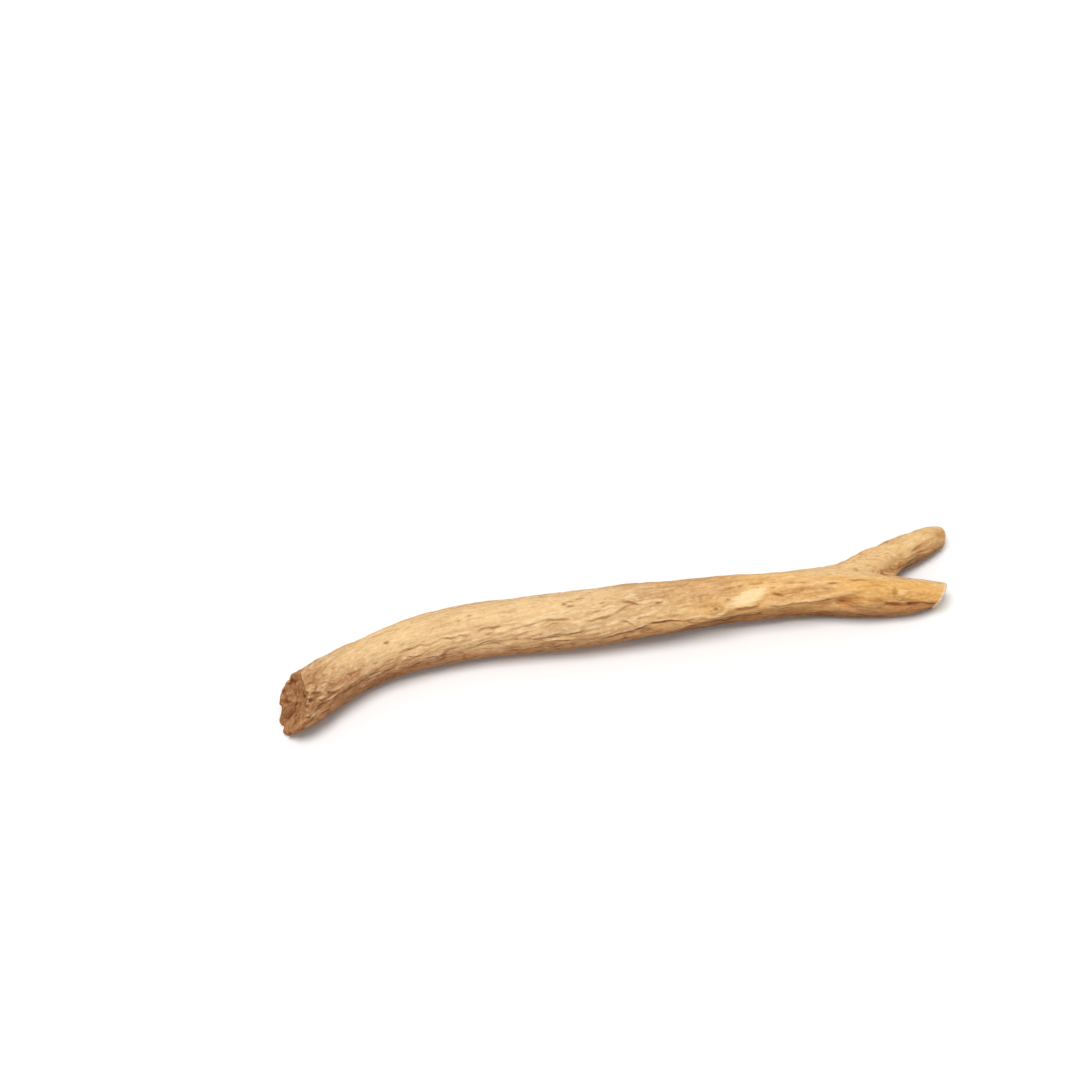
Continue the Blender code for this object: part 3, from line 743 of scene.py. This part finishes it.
class Stem:
    """The centre line of the stem and its arm, with the place of the branch across each section."""

    def __init__(self):
        self.along, rows = read_line(STEM)
        self.gap, self.radius = rows[:, 2], rows[:, 3]
        height = self.radius - PRESSED + self.gap
        self.line = np.column_stack([rows[:, :2], height])
        ahead = unit(np.gradient(self.line, self.along, axis=0))
        self.ahead, self.back, self.up = axes_of(ahead)
        self.find_branch()

    def find_branch(self):
        """Where the branch's line crosses each section's plane, and where the two rounds part."""
        lengths, rows = read_line(BRANCH)
        way = unit(np.gradient(rows[:, :2], lengths, axis=0))
        found = []
        for place, ahead, back in zip(self.line[:, :2], self.ahead[:, :2], self.back[:, :2]):
            at = np.interp(0.0, (rows[:, :2] - place) @ ahead, lengths)
            x, y, radius, way_x, way_y = (
                np.interp(at, lengths, column)
                for column in (rows[:, 0], rows[:, 1], rows[:, 3], way[:, 0], way[:, 1])
            )
            off = (np.array([x, y]) - place) @ back
            found.append((off, radius / (np.array([way_x, way_y]) @ ahead), radius, at))
        self.off, self.wide, self.tall, self.branch_at = np.array(found).T
        apart = self.off - self.radius - self.wide
        beyond = self.along > WIDENS_FROM
        self.split = np.interp(FORK_GAP, apart[beyond], self.along[beyond])

    def at(self, along, values):
        """The values at the given lengths along the stem."""
        if values.ndim == 1:
            return np.interp(along, self.along, values)
        return np.stack([np.interp(along, self.along, column) for column in values.T], axis=-1)

    def axes_at(self, along):
        return tuple(self.at(along, axis) for axis in (self.ahead, self.back, self.up))

    def section(self, along, around):
        """The outline of one section of the stem, from its top round the front."""
        radius, off, wide, tall = (
            self.at(along, values) for values in (self.radius, self.off, self.wide, self.tall)
        )
        angles = np.pi / 2 + 2 * np.pi * np.arange(around) / around
        rays = np.column_stack([np.cos(angles), np.sin(angles)])
        if along < WIDENS_FROM:
            return radius * rays
        shift = ease(WIDENS_FROM, self.split, along) * (off - wide + radius) / 2
        origin = np.array([shift, 0.0])
        own = ray_out(origin, np.zeros(2), np.array([radius, radius]), rays)
        other = ray_out(origin, np.array([off, 0.0]), np.array([wide, tall]), rays)
        joined = np.logaddexp(FORK_WEB * own, FORK_WEB * other) / FORK_WEB
        return origin + rays * joined[:, None]


def placed(centre, axes, across, shift):
    """The points of a ring in space: across it, and shifted along the root."""
    ahead, back, up = axes
    return centre + across[:, :1] * back + across[:, 1:] * up + shift[:, None] * ahead


def torn_edge(across):
    """How far the torn edge of the broken end is set back, round it."""
    out = np.zeros(len(across))
    for size, depth in TORN_EDGE:
        torn = [noise.noise(Vector((a / size, b / size, depth))) for a, b in across]
        out += depth * np.maximum(torn, 0.0)
    return out


def stem_rings(stem, shape, bark):
    """The rings of the stem from the broken end to the fork."""
    *cut, rim, _, _ = BROKEN_END
    rings = []
    for along in stations(stem.split, rim, shape.ring_gap):
        across = stem.section(along, shape.around)
        shift = (1.0 - ease(0.0, END_REACH, along)) * (across @ np.array(cut))
        shift += (1.0 - ease(0.0, TORN_REACH, along)) * torn_edge(across)
        radius, gap = stem.at(along, stem.radius), stem.at(along, stem.gap)
        raised, columns = bark.ring(along + shift, across, radius, gap, np.zeros(2))
        across = across + unit(across) * (raised - drawn_in(along, rim))[:, None]
        points = placed(stem.at(along, stem.line), stem.axes_at(along), across, shift)
        rings.append(np.hstack([points, columns]))
    return rings


class Arm:
    """One arm past the fork: at each ring its place, axes, size, and the share of the way along it."""

    def __init__(self, along, line, axes, radii, widths, gaps):
        self.along, self.line, self.axes = along, line, axes
        self.radii, self.widths, self.gaps = radii, widths, gaps

    def rings(self, start_angles, first_angle, end, offset, bark):
        """The arm's rings after the fork, up to its end."""
        *cut, rim, _, _ = end
        even = first_angle + 2 * np.pi * np.arange(len(start_angles)) / len(start_angles)
        last = self.along[-1]
        rings = []
        for i in range(1, len(self.along)):
            along = self.along[i]
            share = ease(0.0, EVEN_OUT, along - self.along[0])
            angles = start_angles + (even - start_angles) * share
            rays = np.column_stack([np.cos(angles), np.sin(angles)])
            across = rays * np.array([self.widths[i], self.radii[i]])
            shift = ease(last - END_REACH, last, along) * (across @ np.array(cut))
            raised, columns = bark.ring(along + shift, across, self.radii[i], self.gaps[i], offset)
            columns[:, -1] = 1.0 - ease(*PALE_RIM, last - along)
            across = across + rays * (raised - drawn_in(last - along, rim))[:, None]
            axes = tuple(axis[i] for axis in self.axes)
            rings.append(np.hstack([placed(self.line[i], axes, across, shift), columns]))
        return rings


def arm_lengths(start, end, rim, ring_gap):
    """Lengths from the fork to an arm's end, with more at the rounded edge."""
    return end - stations(end - start, rim, ring_gap)[::-1]


def angles_from(ring, centre_x, first_angle):
    """The angle of each point of an arm's first ring, rising from the point in the crotch."""
    angles = np.arctan2(ring[:, 1], ring[:, 0] - centre_x)
    angles[0] = first_angle
    return first_angle + np.unwrap(np.mod(angles - first_angle, 2 * np.pi))


def main_arm(stem, first_ring, shape, bark):
    """The arm that carries the stem's line on, from the fork to its slanting cut."""
    along = arm_lengths(stem.split, stem.along[-1], ARM_END[2], shape.ring_gap)
    radii = stem.at(along, stem.radius)
    line, gaps = stem.at(along, stem.line), stem.at(along, stem.gap)
    arm = Arm(along, line, stem.axes_at(along), radii, radii, gaps)
    start = angles_from(first_ring, 0.0, 0.0)
    return arm.rings(start, 0.0, ARM_END, np.zeros(2), bark)


def branch_arm(stem, first_ring, shape, bark):
    """The branch from the fork to its tip. Its rings turn from the stem's section to its own."""
    lengths, _ = read_line(BRANCH)
    start = stem.at(stem.split, stem.branch_at)
    at = arm_lengths(start, lengths[-1], BRANCH_END[2], shape.ring_gap)
    past = at - start
    _, rows = read_line(BRANCH, at)
    gaps, radii = rows[:, 2], rows[:, 3]
    own_height = radii - PRESSED + gaps
    step = stem.at(stem.split, stem.line)[2] - own_height[0]
    heights = own_height + step * (1.0 - ease(0.0, DROP_OVER, past))
    line = np.column_stack([rows[:, :2], heights])
    own = unit(np.gradient(line, at, axis=0))
    turn = ease(0.0, TURN_OVER, past)[:, None]
    axes = axes_of(unit(stem.at(stem.split, stem.ahead) * (1 - turn) + own * turn))
    widths = radii / (axes[0] * own).sum(1)
    arm = Arm(stem.split + past, line, axes, radii, widths, gaps)
    off = stem.at(stem.split, stem.off)
    start_angles = angles_from(first_ring, off, np.pi)
    return arm.rings(start_angles, np.pi, BRANCH_END, np.array([off, 0.0]), bark)


class Loft:
    """Rows of points with their grain and marks, and faces, gathered ring by ring."""

    def __init__(self):
        self.rows, self.faces = [], []

    def add(self, ring):
        start = len(self.rows)
        self.rows.extend(ring)
        return list(range(start, len(self.rows)))

    def join(self, first, second):
        """Faces between two rings that run the same way round."""
        for j in range(len(first)):
            k = (j + 1) % len(first)
            corners = (first[j], first[k], second[k], second[j])
            self.faces.append(tuple(dict.fromkeys(corners)))

    def close(self, edge, inward, end, seed):
        """Faces over an end, through smaller and smaller rings. Inward points into the root."""
        *_, hollow, rough = end
        rim = np.array([self.rows[i] for i in edge])
        middle = rim.mean(0)
        out_of_root = np.dot(np.cross(rim[0, :3] - middle[:3], rim[1, :3] - middle[:3]), inward) < 0
        outer = edge
        for share in (*END_RINGS, 0.0):
            ring = middle + (rim - middle) * share if share else middle[None].copy()
            bumps = end_bumps(ring[:, :3], seed)
            depth = hollow * (1 - share**2) + rough * bumps * (1 - share**4)
            ring[:, :3] += inward * depth[:, None]
            # Painted shade in the pits of an end, for their depth
            ring[:, COLUMNS.index("crease")] = np.clip(PITS_DARK * bumps, 0.0, 1.0)
            ring[:, COLUMNS.index("cut")] = 1.0
            inner = self.add(ring)
            inner_all = inner if share else inner * len(outer)
            pair = (outer, inner_all) if out_of_root else (inner_all, outer)
            self.join(*pair)
            outer = inner


def end_bumps(points, seed):
    """The bumps of an end, large and small, at the given points."""
    out = np.zeros(len(points))
    apart = Vector((seed, 0.0, 0.0))
    for scale, share in END_BUMPS:
        out += share * np.array([noise.noise(Vector(p) / scale + apart) for p in points])
    return out


def loft_root(shape):
    """The rows of points in millimetres, the faces, and the crotch."""
    stem = Stem()
    loft = Loft()
    stem_bark, branch_bark = Bark(shape, STEM_BARK), Bark(shape, BRANCH_BARK)
    rings = stem_rings(stem, shape, stem_bark)
    half = shape.around // 2
    last = rings[-1]
    crotch = (last[0] + last[half]) / 2
    last[0] = crotch
    ids = [loft.add(ring) for ring in rings[:-1]]
    kept = loft.add(np.delete(last, half, axis=0))
    ids.append(kept[:half] + [kept[0]] + kept[half:])
    for first, second in zip(ids, ids[1:]):
        loft.join(first, second)
    loft.close(ids[0], stem.ahead[0], BROKEN_END, ROUGH_PLACES[0])
    section = stem.section(stem.split, shape.around)
    front = section[:half]
    behind = np.vstack([section[:1], section[half + 1 :]])
    arm = main_arm(stem, front, shape, stem_bark)
    branch = branch_arm(stem, behind, shape, branch_bark)
    arms = (
        (ids[-1][:half], arm, ARM_END, ROUGH_PLACES[1]),
        ([ids[-1][0]] + ids[-1][half + 1 :], branch, BRANCH_END, ROUGH_PLACES[2]),
    )
    for ring, rings, end, place in arms:
        for rows in rings:
            following = loft.add(rows)
            loft.join(ring, following)
            ring = following
        inward = unit(np.mean(rings[-WAY_IN], axis=0)[:3] - np.mean(rings[-1], axis=0)[:3])
        loft.close(ring, inward, end, place)
    rows = np.array(loft.rows)
    rows[:, 2] = np.maximum(rows[:, 2], 0.0)
    shift = np.array([*MIDDLE, 0.0])
    rows[:, :3] -= shift
    return rows, loft.faces, crotch[:3] - shift


def soften_crotch(root, points, crotch):
    """Relaxes the surface round the crotch, less and less away from it."""
    weights = 1.0 - np.linalg.norm(points - crotch, axis=1) / CROTCH_REACH
    group = root.vertex_groups.new(name="crotch")
    for i in np.flatnonzero(weights > 0.0):
        group.add([int(i)], float(weights[i]), "REPLACE")
    softened = root.modifiers.new("soften the crotch", "SMOOTH")
    softened.factor, softened.iterations = CROTCH_SOFTENING
    softened.vertex_group = group.name


def store(mesh, name, kind, values):
    """Keeps a value for each point of the mesh, for its material to read."""
    key = "vector" if kind == "FLOAT_VECTOR" else "value"
    mesh.attributes.new(name, kind, "POINT").data.foreach_set(key, values.astype(np.float32).ravel())


def root_mesh(rows, faces):
    """The mesh of the root, with its grain and marks, kept inside the solid's box."""
    low, high = (np.array(corner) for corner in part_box("root"))
    points = np.clip(rows[:, :3] * MM, low, high)
    mesh = bpy.data.meshes.new("dried_root")
    mesh.from_pydata(points.tolist(), [], faces)
    mesh.shade_smooth()
    first = COLUMNS.index(GRAIN[0])
    store(mesh, "grain", "FLOAT_VECTOR", rows[:, first : first + 3])
    for name in MARKS:
        store(mesh, name, "FLOAT", rows[:, COLUMNS.index(name)])
    return mesh


class Value:
    """A number that changes over a surface. Arithmetic on it adds Math nodes."""

    def __init__(self, graph, socket):
        self.graph, self.socket = graph, socket

    def math(self, operation, *numbers):
        values = dict(enumerate(numbers))
        return self.graph.node("ShaderNodeMath", {"operation": operation}, values)

    def __add__(self, other):
        return self.math("ADD", self, other)

    def __radd__(self, other):
        return self.math("ADD", other, self)

    def __sub__(self, other):
        return self.math("SUBTRACT", self, other)

    def __rsub__(self, other):
        return self.math("SUBTRACT", other, self)

    def __mul__(self, other):
        return self.math("MULTIPLY", self, other)

    def __rmul__(self, other):
        return self.math("MULTIPLY", other, self)

    def __abs__(self):
        return self.math("ABSOLUTE", self)


class Graph:
    """The nodes of one material."""

    def __init__(self, name):
        self.material = bpy.data.materials.new(name)
        self.material.use_nodes = True
        self.tree = self.material.node_tree
        self.surface = self.tree.nodes["Principled BSDF"]

    def put(self, socket, value):
        """Links a value to a socket, or sets the socket to it."""
        if isinstance(value, Value):
            self.tree.links.new(value.socket, socket)
        else:
            socket.default_value = value

    def node(self, kind, settings, values, output=0):
        """Adds a node with its settings, then the values or links of its sockets."""
        node = self.tree.nodes.new(kind)
        for name, setting in settings.items():
            setattr(node, name, setting)
        for key, value in values.items():
            self.put(node.inputs[key], value)
        return Value(self, node.outputs[output])

    def stored(self, name, output="Fac"):
        """What the mesh keeps under a name."""
        return self.node("ShaderNodeAttribute", {"attribute_name": name}, {}, output)

    def noise(self, grain, length, width, detail=2.0, roughness=0.5):
        """Noise from 0 to 1 that is drawn out along the grain, with its size in millimetres."""
        scale = (1.0 / length, 1.0 / width, 1.0 / width)
        drawn = self.node("ShaderNodeVectorMath", {"operation": "MULTIPLY"}, {0: grain, 1: scale})
        values = {"Vector": drawn, "Scale": 1.0, "Detail": detail, "Roughness": roughness}
        return self.node("ShaderNodeTexNoise", {}, values)

    def lines(self, grain, length, width, thin):
        """1 on thin wandering lines along the grain, and 0 away from them."""
        return self.between(abs(self.noise(grain, length, width, 1.0) - 0.5), thin, 0.0)

    def between(self, value, low, high):
        """0 where the value is low, 1 where it is high, and smooth between."""
        settings = {"interpolation_type": "SMOOTHSTEP"}
        return self.node("ShaderNodeMapRange", settings, {0: value, 1: low, 2: high, 3: 0.0, 4: 1.0})

    def mix(self, share, first, second, blend="MIX"):
        """The first colour, with a share of the second over it."""
        settings = {"data_type": "RGBA", "blend_type": blend, "clamp_factor": True}
        return self.node("ShaderNodeMix", settings, {0: share, 6: first, 7: second}, 2)

    def dress(self, values):
        """Gives the surface its values, and returns the material."""
        for name, value in values.items():
            self.put(self.surface.inputs[name], value)
        return self.material


def opaque(colour_value):
    return (*colour_value, 1.0)


# The noises of the bark: length and width in millimetres, detail, roughness
NOISES = {
    "blotch": (7.0, 2.6, 3.0, 0.55),
    "streak": (4.5, 0.75, 3.0, 0.6),
    "fibre": (1.7, 0.27, 2.0, 0.6),
    "fleck": (0.75, 0.4, 3.0, 0.65),
    "patch": (8.0, 1.5, 2.0, 0.5),
    "flute": (14.0, 0.8, 2.0, 0.5),
    "grit": (0.3, 0.18, 3.0, 0.6),
}
CRACKS = (3.5, 0.6, 0.05)  # the length and width of the fine cracks, and how thin they are
WEATHERED = (40.0, 20.0)  # along the root, where the wood of an end is fresh and where weathered
BUMP = (0.7, 0.12 * MM)  # the strength and height of the relief that the mesh is too coarse for


class BarkGraph(Graph):
    """The nodes of the bark. Each mark that the mesh keeps, and each noise, is one of its values."""

    def __init__(self, colours):
        super().__init__("bark")
        self.colours = colours
        grain = self.stored("grain", "Vector")
        for name in MARKS:
            setattr(self, name, self.stored(name))
        for name, sizes in NOISES.items():
            setattr(self, name, self.noise(grain, *sizes))
        self.cracks = self.lines(grain, *CRACKS) * self.between(self.patch, 0.42, 0.60)
        along = self.node("ShaderNodeSeparateXYZ", {}, {0: grain})
        self.weathered = self.between(along, *WEATHERED)

    def colour(self, name):
        """One of the colours of the finish."""
        return opaque(getattr(self.colours, name))

    def toward(self, tone, name, share):
        """A tone with a share of a colour over it."""
        return self.mix(share, tone, self.colour(name))

    def tint(self, tone, name, share):
        """A tone darkened by a share of a tint."""
        return self.mix(share, tone, self.colour(name), "MULTIPLY")

    def bark(self):
        """Bark that is lighter on top and browner below, partly as painted light and shade, orange toward
        the fork, streaked and flecked.
        """
        level, blotch, streak, fibre, fleck = self.level, self.blotch, self.streak, self.fibre, self.fleck
        # Lighter on top and browner below, partly the bark's own colour and partly painted light and shade
        upper = self.between(level + 0.9 * (blotch - 0.5) + 0.5 * (streak - 0.5), -0.28, 0.80)
        tone = self.toward(self.colour("brown_shaded_flank"), "top", upper)
        warmth = self.warm * (1.0 - 0.85 * self.brown_shaded_flank)
        warmth = warmth * (1.0 + 0.8 * (blotch - 0.5) + 0.7 * (streak - 0.5))
        tone = self.toward(tone, "warm", warmth)
        brown_side = 0.34 * self.between(level, 0.98, 0.65) * self.between(blotch, 0.46, 0.64)
        tone = self.toward(tone, "ruddy", self.ruddy * (1.0 + 1.2 * (blotch - 0.5)) + brown_side)
        tone = self.toward(tone, "stain", self.between(self.flute, 0.50, 0.66) * warmth * 0.3)

        pale = self.toward(self.colour("pale"), "warm", self.warm * 0.4)
        # Painted light: the pale streaks and flecks are stronger on the lighter upper side
        lit = 0.35 + 0.65 * upper
        # Painted highlight on high lumps, on the lips of fine lines, on raised lines and on flakes
        tone = self.mix(self.crest * 0.72, tone, pale)
        tone = self.tint(tone, "shade", self.between(streak, 0.50, 0.72) * 0.22)
        tone = self.mix(self.between(streak, 0.48, 0.30) * 0.24 * lit, tone, pale)
        tone = self.tint(tone, "shade", self.between(fibre, 0.50, 0.72) * 0.20)
        tone = self.tint(tone, "shade", self.between(fleck, 0.53, 0.68) * 0.24)
        tone = self.mix(self.between(fleck, 0.47, 0.32) * 0.42 * lit, tone, pale)
        # Painted shade in the fine cracks, more of it on the low side
        tone = self.tint(tone, "shade", self.cracks * (0.6 - 0.35 * upper))

        # Painted shade on the low side, then on the darker flank, which is partly its own colour and
        # partly painted shade
        low_side_shading = self.between(level + 0.4 * (streak - 0.5), 0.32, -0.4)
        tone = self.tint(tone, "under", low_side_shading * 0.64)
        return self.tint(tone, "under", self.brown_shaded_flank * (0.60 + 1.3 * (streak - 0.5) + 0.9 * (fibre - 0.5)))

    def marked(self, tone):
        """The bark's tone with its stains, scrapes and scars, and the painted shade in its wrinkles, folds
        and fine lines, over it.
        """
        tone = self.toward(tone, "stain", self.stain * (0.7 + 0.8 * (self.fibre - 0.5)))
        rubbed = self.scrape * (1.0 - 0.35 * self.between(self.fleck, 0.50, 0.66))
        tone = self.toward(tone, "scrape", rubbed)
        # Painted shade in the wrinkles, folds and fine lines
        tone = self.tint(tone, "shade", self.crease * 0.85)
        return self.tint(tone, "scar", self.scar)

    def wood(self):
        """The wood of the ends: cut and pale on the arms, torn, pitted and weathered on the stem, with
        painted shade in its pits.
        """
        torn, fleck = self.weathered, self.fleck
        tone = self.toward(self.colour("cut"), "torn", torn)
        tone = self.tint(tone, "shade", self.between(fleck, 0.45, 0.66) * (0.35 + 0.3 * torn))
        tone = self.toward(tone, "ruddy", self.between(fleck, 0.47, 0.30) * torn * 0.5)
        tone = self.tint(tone, "shade", self.between(self.blotch, 0.45, 0.65) * torn * 0.4)
        # Painted shade in the pits of the broken end
        return self.tint(tone, "shade", self.crease * torn)

    def bumps(self):
        """The finest relief: fibres, flecks, grit and cracks."""
        strength, high = BUMP
        height = 0.35 * self.fibre + 0.6 * self.fleck + 0.3 * self.grit - 0.5 * self.cracks
        values = {"Strength": strength, "Distance": high, "Height": height}
        return self.node("ShaderNodeBump", {}, values)


def bark_material(finish):
    """The material of the bark, with bare wood on the ends."""
    graph = BarkGraph(finish)
    rough = finish.roughness + 0.12 * (graph.fibre - 0.5) + 0.08 * graph.crease + 0.1 * graph.cut
    return graph.dress(
        {
            "Base Color": graph.mix(graph.cut, graph.marked(graph.bark()), graph.wood()),
            "Roughness": rough,
            "Metallic": 0.0,
            "Specular IOR Level": 0.15,
            "Normal": graph.bumps(),
        }
    )


def linked(name, data):
    """A new object in the scene."""
    thing = bpy.data.objects.new(name, data)
    bpy.context.scene.collection.objects.link(thing)
    return thing


class FORKED_ROOT_OT_add_root(bpy.types.Operator):
    """Adds the dried root with its bark, in place of the plain solid"""

    bl_idname = "forked_root.add_root"
    bl_label = "Add Root"
    bl_options = {"REGISTER", "UNDO"}

    def execute(self, context):
        scene = context.scene
        rows, faces, crotch = loft_root(scene.root_shape)
        root = linked("dried_root", root_mesh(rows, faces))
        root.data.materials.append(bark_material(scene.bark_finish))
        soften_crotch(root, rows[:, :3], crotch)
        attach(root, "root")
        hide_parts("root")
        return {"FINISHED"}


CAMERA_PLACE = (-0.07345, -0.27145, 0.3600)
CAMERA_TURN = -12.3  # degrees from straight ahead, toward the broken end
CAMERA_RISE = 50.0  # degrees above the floor
KEY_FROM = (-0.25, -0.12, 0.95)  # toward the key light
KEY_SPREAD = 0.6  # radians across the key light
SKY_COLOUR = (1.0, 1.0, 1.0, 1.0)
NEAREST, FARTHEST = 0.01, 20.0  # how near and how far the camera sees


def add_floor(studio):
    half = studio.floor_size / 2
    mesh = bpy.data.meshes.new("studio_floor")
    corners = [(-half, -half, 0.0), (half, -half, 0.0), (half, half, 0.0), (-half, half, 0.0)]
    mesh.from_pydata(corners, [], [(0, 1, 2, 3)])
    finish = {"Base Color": opaque(studio.floor), "Roughness": 0.95, "Specular IOR Level": 0.1}
    mesh.materials.append(Graph("studio_floor").dress(finish))
    floor = linked("studio_floor", mesh)


def add_lights(studio):
    light = bpy.data.lights.new("key_light", "SUN")
    light.energy = studio.key_strength
    light.angle = KEY_SPREAD
    key = linked("key_light", light)
    key.rotation_euler = Vector(KEY_FROM).to_track_quat("Z", "Y").to_euler()
    world = bpy.data.worlds.new("studio_sky")
    world.use_nodes = True
    background = world.node_tree.nodes["Background"]
    background.inputs["Color"].default_value = SKY_COLOUR
    background.inputs["Strength"].default_value = studio.sky_strength
    bpy.context.scene.world = world


def add_camera(studio):
    turn, rise = math.radians(CAMERA_TURN), math.radians(CAMERA_RISE)
    away = Vector(
        (math.sin(turn) * math.cos(rise), -math.cos(turn) * math.cos(rise), math.sin(rise))
    )
    right = Vector((0.0, 0.0, 1.0)).cross(away).normalized()
    rotation = Matrix((right, away.cross(right), away)).transposed()
    data = bpy.data.cameras.new("studio_camera")
    data.lens = studio.lens
    data.clip_start, data.clip_end = NEAREST, FARTHEST
    camera = linked("studio_camera", data)
    camera.matrix_world = Matrix.Translation(CAMERA_PLACE) @ rotation.to_4x4()
    bpy.context.scene.camera = camera


class FORKED_ROOT_OT_add_studio(bpy.types.Operator):
    """Adds the pale floor, the soft light and the camera"""

    bl_idname = "forked_root.add_studio"
    bl_label = "Add Studio"
    bl_options = {"REGISTER", "UNDO"}

    def execute(self, context):
        studio = context.scene.root_studio
        add_floor(studio)
        add_lights(studio)
        add_camera(studio)
        context.scene.view_settings.view_transform = "Standard"
        return {"FINISHED"}


class FORKED_ROOT_PT_panel(bpy.types.Panel):
    """The root's operators, sizes and colours"""

    bl_idname = "FORKED_ROOT_PT_panel"
    bl_label = "Ashwagandha Root"
    bl_space_type = "VIEW_3D"
    bl_region_type = "UI"
    bl_category = "Root"

    def draw(self, context):
        scene = context.scene
        groups = (
            (scene.root_shape, "forked_root.add_root"),
            (scene.bark_finish, None),
            (scene.root_studio, "forked_root.add_studio"),
        )
        for group, operator in groups:
            box = self.layout.box()
            for name in group.__annotations__:
                box.prop(group, name)
            if operator:
                box.operator(operator)


CLASSES = (
    RootShape,
    BarkFinish,
    StudioSettings,
    FORKED_ROOT_OT_add_root,
    FORKED_ROOT_OT_add_studio,
    FORKED_ROOT_PT_panel,
)


def register():
    for cls in CLASSES:
        bpy.utils.register_class(cls)
    bpy.types.Scene.root_shape = PointerProperty(type=RootShape)
    bpy.types.Scene.bark_finish = PointerProperty(type=BarkFinish)
    bpy.types.Scene.root_studio = PointerProperty(type=StudioSettings)


def unregister():
    del bpy.types.Scene.root_studio
    del bpy.types.Scene.bark_finish
    del bpy.types.Scene.root_shape
    for cls in reversed(CLASSES):
        bpy.utils.unregister_class(cls)


def main():
    register()
    bpy.ops.forked_root.add_root()
    bpy.ops.forked_root.add_studio()


if __name__ == "__main__":
    main()
